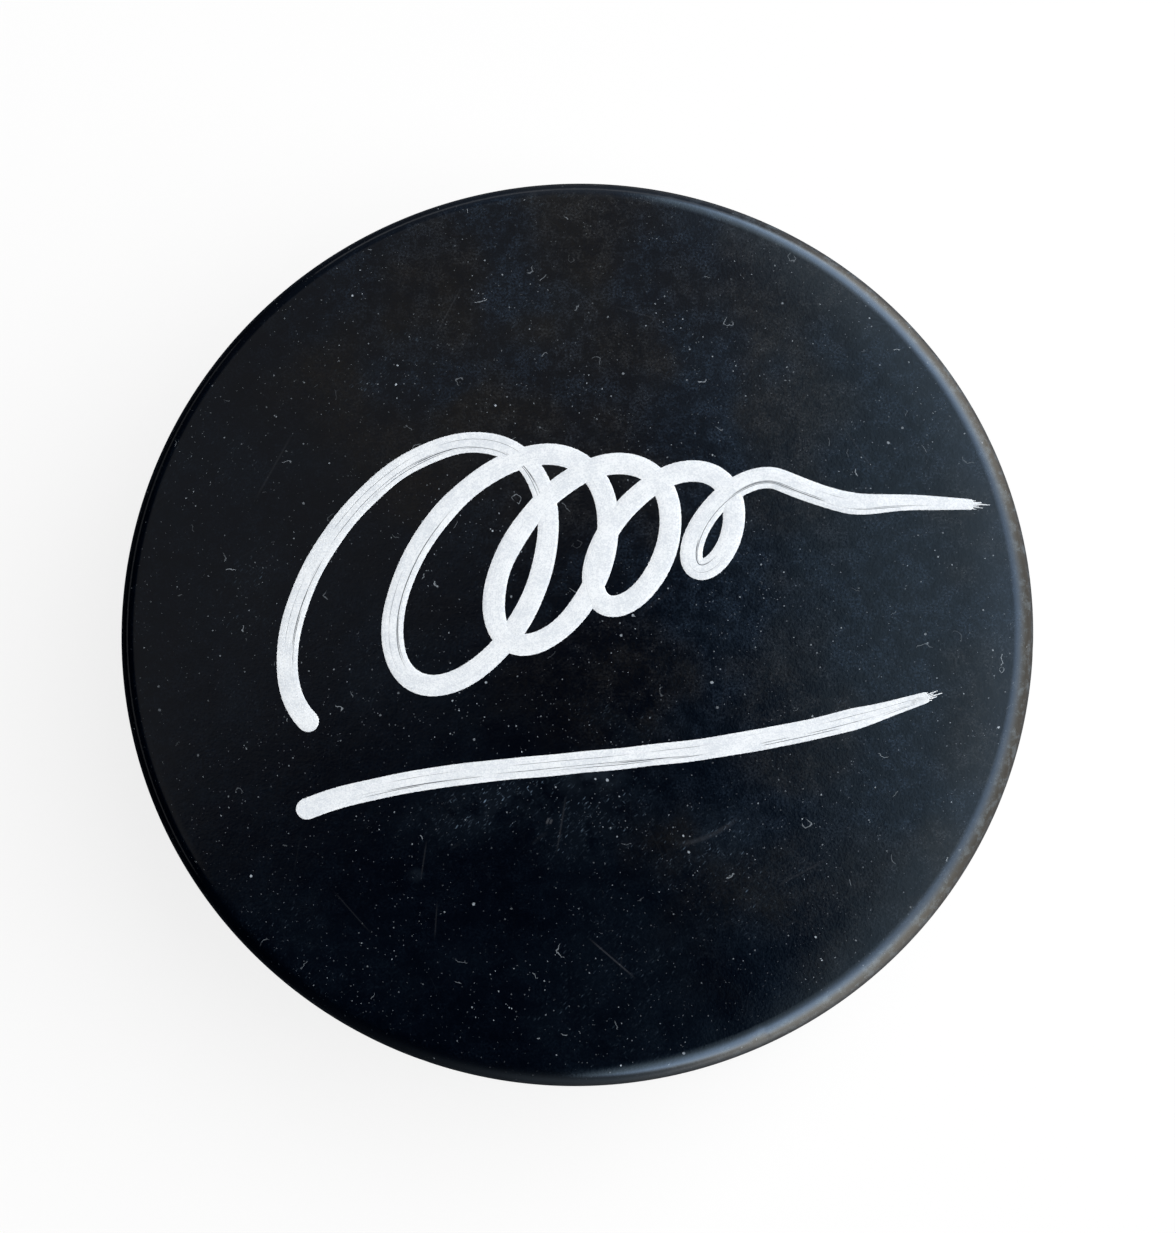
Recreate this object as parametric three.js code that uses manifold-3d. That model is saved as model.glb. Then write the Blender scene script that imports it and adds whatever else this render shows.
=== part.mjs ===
// Ice hockey puck with a pen flourish in silver-white paint marker on its upper face.
//
// Units are millimetres and +Z is up. The origin is the centre of the lower face, which the puck
// rests on. The puck is one moulding of black vulcanised rubber: two flat faces, rounded edges and
// a side wall whose middle band is knurled with diamonds, so that a stick's blade grips it. The two
// strokes of dried paint lie on the upper face as thin films, each a solid of its own.

import * as THREE from 'three';
import { mergeVertices } from 'three/addons/utils/BufferGeometryUtils.js';
import Module from 'manifold-3d';

const wasm = await Module();
wasm.setup();

// ---------------------------------------------------------------------------------------------
// Driving dimensions
// ---------------------------------------------------------------------------------------------

// A regulation puck is 3 in across and 1 in thick.
const PUCK_DIAMETER = 76.2;
const PUCK_THICKNESS = 25.4;

// The rounding between each face and the side wall.
const EDGE_RADIUS = 1.8;
const EDGE_STEPS = 5;

// A plain shoulder lies between each face and the knurled band.
const SHOULDER_HEIGHT = 3.4;

// The knurled band, whose diamonds are flush with the shoulders and whose grooves are cut into it.
// A diamond is two columns wide and two rows tall.
const DIAMONDS_AROUND = 60;
const KNURL_ROWS = 8;
const GROOVE_DEPTH = 0.4;

// The paint strokes.
const FILM_THICKNESS = 0.05;
const STROKE_WIDTH = 1.9;
const TAIL_WIDTH = 0.9;
const TAPER_SHARE = 0.05;
const CAP_STEPS = 6;

// The flourish is a run of overlapping pen loops, each smaller than the one before.
const LOOPS = {
  turns: 4.5,
  startAngle: THREE.MathUtils.degToRad(250),
  centre: new THREE.Vector2(-15, 3.5),
  drift: new THREE.Vector2(30.5, 5.5),
  halfWidth: 9,
  halfHeight: 12.5,
  slant: 0.34,
  lastSize: 0.24,
  shrinkPower: 0.85,
};
const LOOP_SAMPLES = 126;
const PIECE_SAMPLES = 9;

// Its tail sweeps out to the right from the last loop.
const TAIL_END = new THREE.Vector2(33, 9.6);
const TAIL_END_HEADING = new THREE.Vector2(1, -0.08).normalize();
const TAIL_START_REACH = 9;
const TAIL_END_REACH = 11;
const TAIL_SAMPLES = 18;

// The underline is one long shallow curve below the loops.
const UNDERLINE = new THREE.CubicBezierCurve(
  new THREE.Vector2(-22, -15.5),
  new THREE.Vector2(-8, -10.5),
  new THREE.Vector2(8, -13.5),
  new THREE.Vector2(29, -6.5),
);
const UNDERLINE_SAMPLES = 36;
const UNDERLINE_TAPER_SHARE = 0.12;

// ---------------------------------------------------------------------------------------------
// Materials
// ---------------------------------------------------------------------------------------------

const puckRubber = new THREE.MeshStandardMaterial({ color: 0x16181d, roughness: 0.5, metalness: 0 });
const markerPaint = new THREE.MeshStandardMaterial({ color: 0xe4eaee, roughness: 0.45, metalness: 0.1 });

// ---------------------------------------------------------------------------------------------
// Puck body
// ---------------------------------------------------------------------------------------------

// Half of the puck's section, from the axis at the lower face to the axis at the upper face:
// x is the radius and y is the height.
function puckProfile() {
  const radius = PUCK_DIAMETER / 2;
  const arcCentreRadius = radius - EDGE_RADIUS;
  const lowerHalf = [new THREE.Vector2(0, 0)];
  for (let step = 0; step <= EDGE_STEPS; step++) {
    const angle = (step / EDGE_STEPS) * (Math.PI / 2);
    lowerHalf.push(new THREE.Vector2(
      arcCentreRadius + EDGE_RADIUS * Math.sin(angle),
      EDGE_RADIUS * (1 - Math.cos(angle)),
    ));
  }
  const upperHalf = lowerHalf.map((point) => new THREE.Vector2(point.x, PUCK_THICKNESS - point.y));

  const bandHeight = PUCK_THICKNESS - 2 * SHOULDER_HEIGHT;
  const band = [];
  for (let row = 0; row <= KNURL_ROWS; row++) {
    band.push(new THREE.Vector2(radius, SHOULDER_HEIGHT + (row / KNURL_ROWS) * bandHeight));
  }
  return { points: [...lowerHalf, ...band, ...upperHalf.reverse()], firstBandPoint: lowerHalf.length };
}

// A lathe turns its profile about Y. This stands it up along Z, with no rounding of its numbers.
function standUpright(geometry) {
  const position = geometry.attributes.position;
  for (let i = 0; i < position.count; i++) {
    position.setXYZ(i, position.getX(i), -position.getZ(i), position.getY(i));
  }
}

// Shared vertices become one vertex, and the slivers that leaves at the axis are dropped.
function welded(geometry) {
  geometry.deleteAttribute('normal');
  geometry.deleteAttribute('uv');
  const merged = mergeVertices(geometry, 1e-4);
  const corners = merged.index.array;
  const kept = [];
  for (let i = 0; i < corners.length; i += 3) {
    const [a, b, c] = corners.slice(i, i + 3);
    if (a !== b && b !== c && c !== a) {
      kept.push(a, b, c);
    }
  }
  merged.setIndex(kept);
  return merged;
}

// The knurl's vertices form a chequerboard: even ones are the crowns of diamonds, and odd ones are
// where two grooves cross. Each quad is split along the groove that runs through it.
function puckGeometry() {
  const { points, firstBandPoint } = puckProfile();
  const columns = 2 * DIAMONDS_AROUND;
  const geometry = new THREE.LatheGeometry(points, columns);
  const position = geometry.attributes.position;
  const grooveScale = 1 - GROOVE_DEPTH / (PUCK_DIAMETER / 2);

  for (let column = 0; column <= columns; column++) {
    for (let row = 1; row < KNURL_ROWS; row++) {
      const vertex = column * points.length + firstBandPoint + row;
      if ((column + row) % 2 !== 0) {
        position.setX(vertex, position.getX(vertex) * grooveScale);
        position.setZ(vertex, position.getZ(vertex) * grooveScale);
      }
    }
  }

  const triangles = [];
  for (let column = 0; column < columns; column++) {
    for (let row = 0; row < points.length - 1; row++) {
      const a = column * points.length + row;
      const b = a + points.length;
      const c = b + 1;
      const d = a + 1;
      const bandRow = row - firstBandPoint;
      const crownsAtBAndD = bandRow >= 0 && bandRow < KNURL_ROWS && (column + bandRow) % 2 !== 0;
      if (crownsAtBAndD) {
        triangles.push(a, b, c, a, c, d);
      } else {
        triangles.push(a, b, d, c, d, b);
      }
    }
  }
  geometry.setIndex(triangles);
  standUpright(geometry);
  return welded(geometry);
}

// ---------------------------------------------------------------------------------------------
// Paint strokes
// ---------------------------------------------------------------------------------------------

// The pen's place after a share of the loops, from 0 to 1.
function loopPoint(share) {
  const size = 1 + (LOOPS.lastSize - 1) * share ** LOOPS.shrinkPower;
  const angle = LOOPS.startAngle - 2 * Math.PI * LOOPS.turns * share;
  const across = LOOPS.halfWidth * size * Math.cos(angle);
  const up = LOOPS.halfHeight * size * Math.sin(angle);
  return new THREE.Vector2(across + LOOPS.slant * up, up)
    .add(LOOPS.centre)
    .addScaledVector(LOOPS.drift, share);
}

// The whole centre line of the flourish: the loops, and then the tail.
function flourishRoute() {
  const route = [];
  for (let i = 0; i <= LOOP_SAMPLES; i++) {
    route.push(loopPoint(i / LOOP_SAMPLES));
  }
  const lastLoopPoint = route[route.length - 1];
  const heading = lastLoopPoint.clone().sub(loopPoint(1 - 1e-4)).normalize();
  const tail = new THREE.CubicBezierCurve(
    lastLoopPoint,
    lastLoopPoint.clone().addScaledVector(heading, TAIL_START_REACH),
    TAIL_END.clone().addScaledVector(TAIL_END_HEADING, -TAIL_END_REACH),
    TAIL_END,
  );
  return [...route, ...tail.getPoints(TAIL_SAMPLES).slice(1)];
}

// Half the stroke's width at a share of its route: full at first, and narrowing over the last part.
function halfWidthAt(share, taperShare) {
  const intoTaper = THREE.MathUtils.clamp((share - (1 - taperShare)) / taperShare, 0, 1);
  return THREE.MathUtils.lerp(STROKE_WIDTH, TAIL_WIDTH, intoTaper) / 2;
}

// The direction of the route at each of its points.
function headings(route) {
  return route.map((_, i) => {
    const before = route[Math.max(i - 1, 0)];
    const after = route[Math.min(i + 1, route.length - 1)];
    return after.clone().sub(before).normalize();
  });
}

// A half circle of points about one end of a stroke, turning from its right side to its left.
function roundCap(centre, outward, radius) {
  const points = [];
  for (let step = 1; step < CAP_STEPS; step++) {
    const turn = -Math.PI / 2 + (step / CAP_STEPS) * Math.PI;
    points.push(outward.clone().rotateAround(new THREE.Vector2(), turn).multiplyScalar(radius).add(centre));
  }
  return points;
}

// The outline of a stretch of a stroke, from one route point to another. It is round at the two
// ends of the whole stroke, and square where the next stretch meets it.
function stretchOutline(stroke, first, last) {
  const left = [];
  const right = [];
  for (let i = first; i <= last; i++) {
    const sideways = new THREE.Vector2(-stroke.heading[i].y, stroke.heading[i].x);
    left.push(stroke.route[i].clone().addScaledVector(sideways, stroke.halfWidth[i]));
    right.push(stroke.route[i].clone().addScaledVector(sideways, -stroke.halfWidth[i]));
  }
  const outline = [...right];
  if (last === stroke.route.length - 1) {
    outline.push(...roundCap(stroke.route[last], stroke.heading[last], stroke.halfWidth[last]));
  }
  outline.push(...left.reverse());
  if (first === 0) {
    outline.push(...roundCap(stroke.route[0], stroke.heading[0].clone().negate(), stroke.halfWidth[0]));
  }
  return outline;
}

function makeStroke(route, taperShare) {
  return {
    route,
    heading: headings(route),
    halfWidth: route.map((_, i) => halfWidthAt(i / (route.length - 1), taperShare)),
  };
}

function filmGeometry(outline) {
  const settings = { depth: FILM_THICKNESS, bevelEnabled: false, steps: 1 };
  return welded(new THREE.ExtrudeGeometry(new THREE.Shape(outline), settings));
}

function toManifold(geometry) {
  return new wasm.Manifold(new wasm.Mesh({
    numProp: 3,
    vertProperties: new Float32Array(geometry.attributes.position.array),
    triVerts: new Uint32Array(geometry.index.array),
  }));
}

function fromManifold(solid) {
  const mesh = solid.getMesh();
  const geometry = new THREE.BufferGeometry();
  geometry.setAttribute('position', new THREE.BufferAttribute(mesh.vertProperties, 3));
  geometry.setIndex(new THREE.BufferAttribute(mesh.triVerts, 1));
  return geometry;
}

// The loops cross themselves, so the flourish is cut into short stretches that are joined again.
function flourishGeometry() {
  const stroke = makeStroke(flourishRoute(), TAPER_SHARE);
  const lastPoint = stroke.route.length - 1;
  let film = null;
  for (let first = 0; first < lastPoint; first += PIECE_SAMPLES) {
    const last = Math.min(first + PIECE_SAMPLES, lastPoint);
    const stretch = toManifold(filmGeometry(stretchOutline(stroke, first, last)));
    film = film ? film.add(stretch) : stretch;
  }
  return fromManifold(film);
}

function underlineGeometry() {
  const stroke = makeStroke(UNDERLINE.getPoints(UNDERLINE_SAMPLES), UNDERLINE_TAPER_SHARE);
  return filmGeometry(stretchOutline(stroke, 0, UNDERLINE_SAMPLES));
}

// ---------------------------------------------------------------------------------------------
// Assembly
// ---------------------------------------------------------------------------------------------

function named(name, geometry, material) {
  const mesh = new THREE.Mesh(geometry, material);
  mesh.name = name;
  return mesh;
}

const upperFace = new THREE.Group();
upperFace.position.z = PUCK_THICKNESS;
upperFace.add(named('marker_flourish', flourishGeometry(), markerPaint.clone()));
upperFace.add(named('marker_underline', underlineGeometry(), markerPaint.clone()));

const puck = new THREE.Group();
puck.add(named('puck_body', puckGeometry(), puckRubber));
puck.add(upperFace);

export default puck;
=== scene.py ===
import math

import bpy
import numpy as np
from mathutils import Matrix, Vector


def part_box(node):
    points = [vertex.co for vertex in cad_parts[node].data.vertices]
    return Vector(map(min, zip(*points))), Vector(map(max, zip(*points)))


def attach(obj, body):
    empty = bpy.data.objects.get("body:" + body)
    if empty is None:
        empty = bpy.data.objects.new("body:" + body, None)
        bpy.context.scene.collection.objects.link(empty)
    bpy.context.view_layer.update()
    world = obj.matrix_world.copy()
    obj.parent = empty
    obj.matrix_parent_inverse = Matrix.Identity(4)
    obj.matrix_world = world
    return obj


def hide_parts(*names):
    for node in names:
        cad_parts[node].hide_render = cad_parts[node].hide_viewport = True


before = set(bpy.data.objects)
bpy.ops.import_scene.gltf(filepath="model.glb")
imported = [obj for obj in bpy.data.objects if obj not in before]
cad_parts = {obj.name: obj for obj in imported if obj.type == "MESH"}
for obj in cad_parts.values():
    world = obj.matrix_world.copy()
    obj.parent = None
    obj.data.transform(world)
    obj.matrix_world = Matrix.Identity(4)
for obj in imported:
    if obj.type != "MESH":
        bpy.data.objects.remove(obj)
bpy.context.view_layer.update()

# An ice hockey puck lying on a pale table, marked with a generic pen flourish in paint marker.
#
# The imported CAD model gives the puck's box and where the strokes lie. This script remakes its three
# nodes as fine meshes: the moulding with its softened knurl, and the two films of dried paint.
# Blender works in metres. Sizes below are in millimetres, and MM turns them into metres.

MM = 0.001
PUCK_LOW, PUCK_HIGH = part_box("puck_body")
RADIUS = (PUCK_HIGH.x - PUCK_LOW.x) / 2 / MM
THICKNESS = (PUCK_HIGH.z - PUCK_LOW.z) / MM
SEED = 20

# -------------------- Camera --------------------

PICTURE_SPAN = 102.3               # how much of the upper face the picture's height takes in
CAMERA_DISTANCE = 240.0
CAMERA_TILT = math.radians(9.1)    # away from straight above
CAMERA_SIDE = math.radians(282)    # towards the near edge, and a little to the right
AIM_OFFSET = Vector((1.14, 0.38))  # of the picture's centre from the face's centre
CLIP_NEAR, CLIP_FAR = 0.01, 20.0   # in metres


def make_camera():
    camera = bpy.data.objects.new("camera", bpy.data.cameras.new("camera"))
    bpy.context.scene.collection.objects.link(camera)
    back = Vector((
        math.cos(CAMERA_SIDE) * math.sin(CAMERA_TILT),
        math.sin(CAMERA_SIDE) * math.sin(CAMERA_TILT),
        math.cos(CAMERA_TILT),
    ))
    right = Vector((0, 1, 0)).cross(back).normalized()
    up = back.cross(right)
    aim = Vector((0, 0, THICKNESS)) + right * AIM_OFFSET.x + up * AIM_OFFSET.y
    place = (aim + back * CAMERA_DISTANCE) * MM
    turn = Matrix((right, up, back)).transposed().to_4x4()
    camera.matrix_world = Matrix.Translation(place) @ turn
    camera.data.lens = camera.data.sensor_width * CAMERA_DISTANCE / PICTURE_SPAN
    camera.data.clip_start = CLIP_NEAR
    camera.data.clip_end = CLIP_FAR
    bpy.context.scene.camera = camera


# -------------------- Shader graphs --------------------


class Graph:
    """Adds shader nodes to a tree, so that a material reads like a formula."""

    def __init__(self, tree):
        self.tree = tree
        self.tree.nodes.clear()

    def add(self, kind, inputs=None, **settings):
        node = self.tree.nodes.new(kind)
        for name, value in settings.items():
            setattr(node, name, value)
        for name, value in (inputs or {}).items():
            self.feed(node.inputs[name], value)
        return node

    def feed(self, socket, value):
        if isinstance(value, bpy.types.NodeSocket):
            self.tree.links.new(value, socket)
        else:
            socket.default_value = value

    def math(self, operation, a, b=0.0):
        return self.add("ShaderNodeMath", {0: a, 1: b}, operation=operation).outputs[0]

    def minus(self, a, b):
        return self.math("SUBTRACT", a, b)

    def absolute(self, value):
        return self.math("ABSOLUTE", value)

    def times(self, *factors):
        result = factors[0]
        for factor in factors[1:]:
            result = self.math("MULTIPLY", result, factor)
        return result

    def plus(self, *terms):
        result = terms[0]
        for term in terms[1:]:
            result = self.math("ADD", result, term)
        return result

    def vector(self, operation, a, b=(0, 0, 0)):
        node = self.add("ShaderNodeVectorMath", {0: a, 1: b}, operation=operation)
        return node.outputs["Value" if operation in ("DOT_PRODUCT", "LENGTH") else "Vector"]

    def shifted(self, vector, offset):
        return self.vector("ADD", vector, offset)

    def scaled(self, vector, factors):
        return self.vector("MULTIPLY", vector, factors)

    def vector_times(self, vector, factor):
        node = self.add("ShaderNodeVectorMath", {0: vector, "Scale": factor}, operation="SCALE")
        return node.outputs[0]

    def split(self, vector):
        return self.add("ShaderNodeSeparateXYZ", {0: vector}).outputs

    def join(self, x, y, z=0.0):
        return self.add("ShaderNodeCombineXYZ", {0: x, 1: y, 2: z}).outputs[0]

    def turned(self, vector, angle):
        """The vector turned about Z, by an angle in radians."""
        node = self.add(
            "ShaderNodeVectorRotate", {"Vector": vector, "Angle": angle}, rotation_type="Z_AXIS"
        )
        return node.outputs[0]

    def ease(self, value, low, high, to_low=0.0, to_high=1.0):
        """A smooth step from to_low to to_high, as value goes from low to high."""
        limits = {"From Min": low, "From Max": high, "To Min": to_low, "To Max": to_high}
        node = self.add(
            "ShaderNodeMapRange", {"Value": value, **limits}, interpolation_type="SMOOTHSTEP"
        )
        return node.outputs[0]

    def noise(self, where, size, detail=2.0, roughness=0.5):
        """Soft noise from 0 to 1, whose blobs are about size across."""
        settings = {"Vector": where, "Scale": 1.0 / size, "Detail": detail, "Roughness": roughness}
        return self.add("ShaderNodeTexNoise", settings).outputs[0]

    def warped(self, where, frequency, reach):
        """The place shifted by soft noise, by up to reach along each axis."""
        noise = self.add("ShaderNodeTexNoise", {"Vector": where, "Scale": frequency})
        return self.shifted(where, self.scaled(noise.outputs[1], reach))

    def cells(self, where, size, dimensions="3D"):
        """Random cells about size across. Its outputs are Distance, Color and Position."""
        node = self.add(
            "ShaderNodeTexVoronoi",
            {"Vector": where, "Scale": 1.0 / size},
            voronoi_dimensions=dimensions,
        )
        return node.outputs

    def blend(self, share, a, b):
        node = self.add("ShaderNodeMix", data_type="RGBA")
        self.feed(node.inputs[0], share)
        self.feed(node.inputs[6], a)
        self.feed(node.inputs[7], b)
        return node.outputs[2]

    def place_on_piece(self):
        """The place in the piece's own frame, in millimetres."""
        return self.scaled(self.add("ShaderNodeTexCoord").outputs["Object"], (1 / MM,) * 3)

    def attribute(self, name):
        return self.add("ShaderNodeAttribute", attribute_name=name).outputs["Fac"]

    def bumped(self, relief, strength):
        """The normal of a surface with a fine relief, in millimetres."""
        inputs = {"Height": self.times(relief, MM), "Strength": strength, "Distance": 1.0}
        return self.add("ShaderNodeBump", inputs).outputs["Normal"]

    def finish_surface(self, settings, normal=None):
        shader = self.add("ShaderNodeBsdfPrincipled", settings)
        if normal is not None:
            self.feed(shader.inputs["Normal"], normal)
        output = self.add("ShaderNodeOutputMaterial")
        self.tree.links.new(shader.outputs[0], output.inputs["Surface"])


def new_graph(name):
    material = bpy.data.materials.new(name)
    material.use_nodes = True
    return material, Graph(material.node_tree)


def colour(red, green, blue):
    return (red, green, blue, 1.0)


# -------------------- Rubber --------------------

# Straight scratches on the upper face, as (start, end, width, strength).
SCRATCHES = (
    ((1.0, -26.0), (5.2, -29.6), 0.10, 0.75),
    ((9.0, 3.2), (12.4, 5.0), 0.09, 0.50),
    ((-0.6, -14.2), (-1.5, -19.6), 0.10, 0.45),
    ((-12.1, -18.0), (-12.6, -21.6), 0.09, 0.35),
    ((-11.2, -23.0), (-11.4, -26.4), 0.09, 0.30),
    ((-2.30, -16.9), (-2.05, -16.3), 0.13, 1.6),
    ((-2.00, -16.9), (-1.80, -16.4), 0.13, 1.4),
    ((16.5, -22.0), (21.0, -19.6), 0.12, 0.30),
    ((-27.0, 10.0), (-23.5, 16.5), 0.12, 0.22),
    ((22.0, 17.0), (25.4, 12.0), 0.08, 0.30),
    ((-12.0, 24.0), (-9.4, 29.0), 0.08, 0.32),
    ((3.0, 27.0), (8.6, 25.2), 0.07, 0.30),
    ((-20.0, -22.0), (-16.4, -26.0), 0.08, 0.28),
)
# A curved scratch, as (centre, radius, middle angle in degrees, half span in degrees, width).
CURVED_SCRATCH = ((7.0, -8.5), 10.2, -66.0, 17.0, 0.28)
CURVED_SCRATCH_STRENGTH = 0.42
# Families of hairlines, as (angle in degrees, thinness).
HAIRLINES = ((35, 0.0035), (-62, 0.0030), (84, 0.0030))
HAIRLINE_REACH = 40.0            # a hairline's length for each unit of its width
HAIRLINE_STRENGTH = 0.14
# Families of rubbed dashes, as (angle in degrees, cell, half width, share of cells kept, strength).
DASHES = (
    (52, 0.18, 0.070, 0.95, 1.0),
    (33, 0.22, 0.072, 0.85, 0.8),
    (-48, 0.27, 0.066, 0.60, 0.6),
)
DASH_SHORTENING = 0.28           # a dash's width for each unit of its length
# Hazy patches of rubbed rubber, as (centre, half length, half width, angle in degrees, strength).
SCUFFS = (
    ((-6.5, -15.2), 10.0, 3.6, 14.0, 0.9),
    ((2.0, -16.5), 8.0, 4.6, 20.0, 0.7),
    ((11.0, -19.0), 8.0, 5.0, 25.0, 0.45),
    ((4.0, -8.5), 6.0, 2.4, -20.0, 0.40),
    ((-15.0, 22.0), 9.0, 4.5, 30.0, 0.30),
    ((15.0, -23.0), 9.0, 4.0, 35.0, 0.40),
    ((25.0, -6.0), 7.0, 5.0, 60.0, 0.30),
    ((-27.0, 3.0), 7.0, 3.0, 75.0, 0.25),
)
# Where a soft bloom lies on the rubber, in the same form.
BLOOMS = (
    ((1.6, -12.6), 4.6, 2.6, 8.0, 1.0),
    ((6.0, 12.0), 1.0, 0.8, 20.0, 2.2),
    ((12.0, -17.5), 5.0, 3.4, 30.0, 0.45),
    ((-13.0, -21.0), 1.0, 0.8, 0.0, 0.8),
)
# What haze there is under the dashes of a rubbed patch, in the dashes themselves and in a bloom.
PATCH_HAZE, DASH_HAZE, BLOOM_HAZE = 0.09, 3.2, 0.20
# Sizes of dust, as (offset, cell, radius, share of cells kept, strength).
DUST_SIZES = (
    ((0.0, 0.0, 0.0), 0.34, 0.065, 0.75, 0.16),
    ((3.7, 9.1, 5.3), 0.66, 0.085, 0.62, 0.85),
    ((1.3, 4.9, 8.1), 2.0, 0.15, 0.80, 1.0),
)
# Kinds of lint, as (offset, cell, share of cells kept, range of the arc's radius, half length).
LINT_KINDS = (
    ((0.0, 0.0, 0.0), 5.9, 0.26, (0.26, 0.70), 0.95),
    ((2.1, 7.7, 0.0), 4.6, 0.34, (0.8, 3.0), 0.50),
)
LINT_STRENGTH = 0.42

DARK_RUBBER = colour(0.0000, 0.0005, 0.0024)
# Cool rubber is darker and bluer. At the lower left, away from the light, it is painted shade.
COOL_RUBBER = colour(0.0003, 0.0014, 0.0040)
WARM_RUBBER = colour(0.0040, 0.0030, 0.0022)
# The film colours lighten the face most towards the lit top right: handling marks with a painted
# sheen.
COOL_FILM_SHEEN = colour(0.22, 0.36, 0.58)
WARM_FILM_SHEEN = colour(0.32, 0.34, 0.36)
HAZE_COLOUR = colour(0.30, 0.44, 0.60)
SCRATCH_COLOUR = colour(0.55, 0.58, 0.64)
DUST_COLOUR = colour(0.64, 0.72, 0.80)
CROWN_COLOUR = colour(0.50, 0.52, 0.55)
# Pale spots on the rim's lit right side: rubbed rubber and a painted highlight.
RIM_WEAR_AND_HIGHLIGHT = colour(0.40, 0.52, 0.62)
# How much of each of these colours shows where it lies at its full strength.
FILM_AND_SHEEN_SHARE, HAZE_SHARE, SCRATCH_SHARE, CROWN_SHARE, RIM_WEAR_AND_HIGHLIGHT_SHARE = 0.075, 0.115, 0.05, 0.012, 0.11


def straight_scratch(graph, where, start, end, width):
    """1 along a thin straight scratch, fading towards its ends."""
    middle = ((start[0] + end[0]) / 2, (start[1] + end[1]) / 2, 0)
    half_length = math.dist(start, end) / 2
    angle = math.atan2(end[1] - start[1], end[0] - start[0])
    local = graph.split(graph.turned(graph.vector("SUBTRACT", where, middle), -angle))
    return graph.times(
        graph.ease(graph.absolute(local[1]), width, width * 0.3),
        graph.ease(graph.absolute(local[0]), half_length, half_length * 0.4),
    )


def curved_scratch(graph, where, centre, radius, middle, half_span, width):
    """1 along a thin arc, fading towards its ends."""
    flat = graph.scaled(graph.vector("SUBTRACT", where, (*centre, 0)), (1, 1, 0))
    off_arc = graph.absolute(graph.minus(graph.vector("LENGTH", flat), radius))
    local = graph.split(graph.turned(flat, -math.radians(middle)))
    angle = graph.absolute(graph.math("ARCTAN2", local[1], local[0]))
    return graph.times(
        graph.ease(off_arc, width, width * 0.2),
        graph.ease(angle, math.radians(half_span), math.radians(half_span * 0.5)),
    )


def patch(graph, where, centre, half_length, half_width, angle):
    """1 at the middle of a soft oval, and 0 outside it."""
    local = graph.turned(graph.vector("SUBTRACT", where, (*centre, 0)), -math.radians(angle))
    from_centre = graph.vector("LENGTH", graph.scaled(local, (1 / half_length, 1 / half_width, 0)))
    return graph.ease(from_centre, 1.0, 0.1)


def patches(graph, where, ovals):
    """The sum of some soft ovals, each with its strength."""
    return graph.plus(*(
        graph.times(patch(graph, where, *oval), strength) for *oval, strength in ovals
    ))


def specks(graph, where, cell, radius, keep):
    """Scattered round specks up to radius in size, each with a brightness of its own."""
    cells = graph.cells(where, cell)
    distance = graph.times(cells["Distance"], cell)
    random = graph.split(cells["Color"])
    shown = graph.math("GREATER_THAN", keep, random[0])
    size = graph.ease(random[1], 0.0, 1.0, radius * 0.5, radius)
    inside = graph.ease(graph.math("DIVIDE", distance, size), 1.0, 0.6)
    brightness = graph.plus(0.16, graph.times(graph.math("POWER", random[2], 2.4), 0.84))
    return graph.times(inside, shown, brightness)


def dashes_along(graph, where, angle, cell, half_width, keep):
    """Scattered short dashes that run at an angle in degrees: specks, drawn out."""
    turned = graph.turned(where, -math.radians(angle))
    drawn_out = graph.scaled(turned, (DASH_SHORTENING, 1.0, 1.0))
    return specks(graph, drawn_out, cell, half_width, keep)


def lint(graph, where, cell, keep, bend, half_length):
    """Short fibres: an arc near the middle of some of the cells. bend is the arc's radius range."""
    flat = graph.scaled(where, (1, 1, 0))
    cells = graph.cells(flat, cell, "2D")
    random = graph.split(cells["Color"])
    offset = graph.vector("SUBTRACT", flat, graph.scaled(cells["Position"], (1, 1, 0)))
    turned = graph.turned(offset, graph.times(random[1], 2 * math.pi))
    radius = graph.ease(random[0], 0.0, 1.0, *bend)
    centred = graph.shifted(turned, graph.join(radius, 0.0))
    off_arc = graph.absolute(graph.minus(graph.vector("LENGTH", centred), radius))
    local = graph.split(centred)
    along = graph.absolute(graph.times(graph.math("ARCTAN2", local[1], local[0]), radius))
    reach = graph.ease(random[2], 0.0, 1.0, half_length * 0.35, half_length)
    inside_reach = graph.ease(graph.math("DIVIDE", along, reach), 1.0, 0.75)
    # The cells' random numbers are used twice, and their later digits serve as new ones.
    shown = graph.math("GREATER_THAN", keep, graph.math("FRACT", graph.times(random[1], 7.0)))
    brightness = graph.math("FRACT", graph.times(random[2], 11.0))
    brightness = graph.plus(0.12, graph.times(brightness, brightness, 0.88))
    return graph.times(graph.ease(off_arc, 0.048, 0.012), inside_reach, shown, brightness)


def hairlines(graph, where, angle, thinness):
    """Long faint lines that run at an angle in degrees: the level line of a stretched noise."""
    turned = graph.turned(where, -math.radians(angle))
    drawn_out = graph.scaled(turned, (1 / HAIRLINE_REACH, 1.0, 1.0))
    off_level = graph.absolute(graph.minus(graph.noise(drawn_out, 2.6, 1.0), 0.5))
    broken = graph.ease(graph.noise(graph.shifted(where, (31, 17, 5)), 5.0, 2.0), 0.52, 0.68)
    return graph.times(graph.ease(off_level, thinness, 0.0), broken)


def uneven_rubber(graph, where, clouds, blotches, warmth_with_shade):
    """The bare rubber's colour: lighter clouds, blotches and grain, warm here and cool there. The
    cool parts are darker and bluer, and where they are kept to the lower left they are painted shade.
    """
    grain = graph.noise(where, 0.26, 2.0, 0.65)
    unevenness = graph.plus(
        graph.times(clouds, 0.40), graph.times(blotches, 0.30), graph.times(grain, 0.30)
    )
    light_rubber = graph.blend(warmth_with_shade, COOL_RUBBER, WARM_RUBBER)
    return graph.blend(graph.ease(unevenness, 0.38, 0.66), DARK_RUBBER, light_rubber)


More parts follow.
